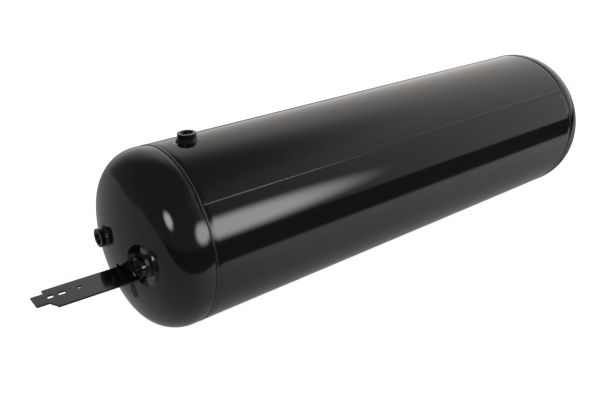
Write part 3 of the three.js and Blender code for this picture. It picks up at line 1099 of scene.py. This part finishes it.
class Reservoir:
    """The whole vessel: heads, shell, welds, ports and bracket."""

    def __init__(self) -> None:
        """Reads the frame and sets out the sub-assemblies."""
        self.places = Places.read()
        self.wardrobe = Wardrobe()
        low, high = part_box("right_port_boss")
        seat = Seat((low.y + high.y) / 2, (low.z + high.z) / 2 - self.places.axis_height)
        self.front = Head(self.places, True, 16 * MM, seat)
        self.rear = Head(self.places, False, 4 * MM)
        self.shell = Shell(self.places)
        self.top_port = self._shell_port("top_port_boss", 3)
        self.left_port = self._head_port("left_port_boss", 5)
        self.right_port = self._head_port("right_port_boss", 7)
        _, strap_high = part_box("bracket")
        self.bracket = Bracket(self.front, strap_high.z)

    def _shell_port(self, node: str, seed: int) -> Port:
        """A port that stands on top of the shell, at its node's place."""
        low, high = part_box(node)
        radius = self.places.radius
        origin = Vector(((low.x + high.x) / 2, (low.y + high.y) / 2, self.places.axis_height + radius))

        def ground(u: Array, v: Array) -> Array:
            return np.sqrt(radius**2 - np.minimum(v**2, radius**2)) - radius

        return Port(origin, Vector((0, 0, 1)), Vector((1, 0, 0)), ground, seed)

    def _head_port(self, node: str, seed: int) -> Port:
        """A port that stands on the front head, at its node's place."""
        low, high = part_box(node)
        across, height = (low.y + high.y) / 2, (low.z + high.z) / 2
        up = height - self.places.axis_height
        base = float(self.front.surface(np.array(across), np.array(up)))

        def ground(u: Array, v: Array) -> Array:
            return base - self.front.surface(across + v, up + u)

        return Port(Vector((base, across, height)), Vector((-1, 0, 0)), Vector((0, 0, 1)), ground, seed)

    def _enter(
        self, piece: bpy.types.Object, node: str, slot: str, *finishes: GlossPaint | ThreadedSteel
    ) -> None:
        """Dresses a piece and hands it to the frame."""
        piece.data.materials.clear()
        for finish in finishes:
            self.wardrobe.dress(piece, finish)
        Part(piece, node, slot).enter()

    def build_plates(self) -> None:
        """Builds the shell and both heads and drills their port holes."""
        shell = self.shell.build("tank_shell")
        drill(shell, self.top_port.cutter())
        self._enter(shell, "shell", "black_paint", SHEET_PAINT)
        head = self.front.build("tank_front_head")
        drill(head, self.left_port.cutter())
        drill(head, self.right_port.cutter())
        self._enter(head, "front_head", "black_paint", HEAD_PAINT)
        self._enter(self.rear.build("tank_rear_head"), "rear_head", "black_paint", HEAD_PAINT)

    def build_joint_welds(self) -> None:
        """Builds the girth welds and the lengthwise seam."""
        joints = {"front": (self.places.front_joint, 21), "rear": (self.places.rear_joint, 27)}
        for name, (joint, seed) in joints.items():
            ring = GirthWeld(self.places, joint, seed).build(name + "_joint_bead")
            self._enter(ring, name + "_girth_weld", "painted_weld", WELD_PAINT)
        seam = SeamWeld(self.places).build("seam_bead")
        self._enter(seam, "seam_weld", "painted_weld", WELD_PAINT)

    def build_ports(self) -> None:
        """Builds the three bosses and their fillet welds."""
        ports = {"top_port": self.top_port, "left_port": self.left_port, "right_port": self.right_port}
        for name, port in ports.items():
            boss = port.build_boss(name + "_turned")
            self._enter(boss, name + "_boss", "painted_boss", BOSS_PAINT, THREAD_STEEL)
            weld = port.build_weld(name + "_fillet")
            self._enter(weld, name + "_weld", "painted_weld", WELD_PAINT)

    def build_bracket(self) -> None:
        """Builds the bracket and its two side welds."""
        self._enter(self.bracket.build("bracket_strap"), "bracket", "painted_bracket", PLATE_PAINT)
        left = self.bracket.build_left_weld("bracket_bead_left")
        self._enter(left, "bracket_weld_left", "painted_weld", WELD_PAINT)
        right = self.bracket.build_right_weld("bracket_bead_right")
        self._enter(right, "bracket_weld_right", "painted_weld", WELD_PAINT)


# ---------------------------------------------------------------- studio


@dataclass(frozen=True)
class Viewpoint:
    """Where the camera stands and looks, in metres and degrees."""

    eye: tuple[float, float, float] = (-0.8919, -0.9986, 0.68477)
    azimuth: float = 51.92
    elevation: float = -23.384
    roll: float = -1.627
    lens: float = 43.25

    def build(self) -> None:
        """Makes the camera: forward from the two angles, then turned about it by the roll."""
        azimuth, elevation = math.radians(self.azimuth), math.radians(self.elevation)
        level = math.cos(elevation)
        forward = Vector((level * math.cos(azimuth), level * math.sin(azimuth), math.sin(elevation)))
        right = forward.cross(Vector((0, 0, 1))).normalized()
        up = right.cross(forward)
        turned = Matrix.Rotation(-math.radians(self.roll), 3, forward)
        right, up = turned @ right, turned @ up
        camera = bpy.data.cameras.new("camera")
        camera.lens = self.lens
        camera.sensor_width = 36.0
        camera.clip_end = 200.0
        stand = linked("camera", camera)
        facing = Matrix((right, up, -forward)).transposed().to_4x4()
        stand.matrix_world = Matrix.Translation(Vector(self.eye)) @ facing
        bpy.context.scene.camera = stand


@dataclass(frozen=True)
class Softbox:
    """A soft oval light: where it hangs, what it faces, its size, its radiance and its even core."""

    name: str
    place: tuple[float, float, float]
    aim: tuple[float, float, float]
    width: float
    height: float
    glow: float
    core: float = 0.35

    def build(self) -> None:
        """Hangs the light."""
        lamp = bpy.data.lights.new(self.name, "AREA")
        lamp.shape = "ELLIPSE"
        lamp.size = self.width
        lamp.size_y = self.height
        lamp.energy = math.pi * self.glow * math.pi * self.width * self.height / 4
        lamp.use_nodes = True
        lamp.node_tree.nodes.clear()
        graph = Graph(lamp.node_tree)
        spot = graph.node("ShaderNodeNewGeometry").outputs["Parametric"]
        u, v = (2.0 * part - 1.0 for part in graph.split(spot)[:2])
        rim = (u * u + v * v) ** 0.5
        light = graph.node("ShaderNodeEmission", None, Strength=1.0 - rim.step(self.core, 1.0))
        graph.node("ShaderNodeOutputLight", None, Surface=light.outputs[0])
        stand = linked(self.name, lamp)
        toward = Vector(self.aim) - Vector(self.place)
        stand.location = self.place
        stand.rotation_euler = toward.to_track_quat("-Z", "Y").to_euler()


class Studio:
    """Floor, lights, surroundings and camera; the glows are radiances."""

    reach = 30.0
    floor_glow = 0.85
    card_glow = 0.03
    card_inner_glow = 0.3
    card_beside_glow = 0.5
    room_glow = 0.15
    wall_glow = 1.1
    softboxes = (
        Softbox("right_softbox", (0.36, -1.53, 0.6), (-0.2, 0.0, 0.2), 1.55, 0.95, 6.2),
        Softbox("left_softbox", (-1.75, -0.85, 1.05), (-0.4, 0.0, 0.15), 0.8, 0.8, 7.5),
    )

    def build(self) -> None:
        """Builds the whole studio."""
        self._floor()
        self._painted_reflection_card()
        self._surroundings()
        for softbox in self.softboxes:
            softbox.build()
        bpy.context.scene.view_settings.view_transform = "Standard"
        Viewpoint().build()

    def _sheet(self, name: str, height: float) -> bpy.types.Object:
        """A level square sheet at a height."""
        sides = np.array([-self.reach, self.reach])
        x, y = np.meshgrid(sides, sides, indexing="ij")
        return closed_mesh(name, np.stack([x, y, 0 * x + height], axis=-1), False, False)

    def _floor(self) -> None:
        """A plain pale floor under the tank."""
        floor = self._sheet("floor", 0.0)
        made, graph = blank_material("floor_paper")
        shader = graph.node(
            "ShaderNodeBsdfPrincipled",
            None,
            Base_Color=(0.86, 0.86, 0.86, 1.0),
            Roughness=0.9,
            Emission_Color=(1.0, 1.0, 1.0, 1.0),
            Emission_Strength=self.floor_glow,
        )
        graph.node("ShaderNodeOutputMaterial", None, Surface=shader.outputs[0])
        floor.data.materials.append(made)

    def _painted_reflection_card(self) -> None:
        """A glowing card on the floor that only the paint mirrors, so that the floor stays pale; its glow
        is a painted reflection of the floor.

        Its glow ends a little in front of the tank, where the card is nearly black, and beside the shell it
        is lighter further out and dimmer close to the tank, a painted shade.
        """
        card = self._sheet("reflection_card", 2 * MM)
        made, graph = blank_material("painted_reflection_glow")
        along, across, _ = graph.split(graph.node("ShaderNodeTexCoord").outputs["Object"])
        beside = along.step(-0.6, -0.1) * (0.0 - across).step(0.1, 0.4)
        inside = across.step(-0.47, -0.41)
        # painted reflection of the floor: near-black in front of the tank, and beside the shell a painted
        # shade, dimmer close to the tank and lighter further out
        glow = self.card_glow + inside * (self.card_inner_glow + self.card_beside_glow * beside)
        light = graph.node("ShaderNodeEmission", None, Strength=glow)
        graph.node("ShaderNodeOutputMaterial", None, Surface=light.outputs[0])
        card.data.materials.append(made)
        # the card is seen only in the paint's reflections
        card.visible_camera = False
        card.visible_shadow = False
        card.visible_diffuse = False

    def _surroundings(self) -> None:
        """A plain room: one bright wall behind the tank that fades evenly into dimmer sides."""
        world = bpy.data.worlds.new("studio")
        bpy.context.scene.world = world
        world.use_nodes = True
        graph = Graph(world.node_tree)
        x, y, z = graph.split(graph.node("ShaderNodeTexCoord").outputs["Generated"])
        wall = (0.94 * x + 0.34 * y).step(0.0, 1.0) * (1.0 - z.step(0.66, 0.9))
        strength = self.room_glow + self.wall_glow * wall
        light = graph.node("ShaderNodeBackground", None, Color=(1.0, 0.955, 0.92, 1.0), Strength=strength)
        graph.node("ShaderNodeOutputWorld", None, Surface=light.outputs[0])


def corners(box: Sequence[Sequence[float]]) -> list[list[float]]:
    """Turns a box's two corners into plain lists."""
    return [[float(value) for value in corner] for corner in box]


def main() -> None:
    """Builds the reservoir and its studio."""
    logging.basicConfig(level=logging.INFO, format="%(name)s: %(message)s")
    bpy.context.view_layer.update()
    Studio().build()
    reservoir = Reservoir()
    reservoir.build_plates()
    reservoir.build_joint_welds()
    reservoir.build_ports()
    reservoir.build_bracket()


if __name__ == "__main__":
    main()
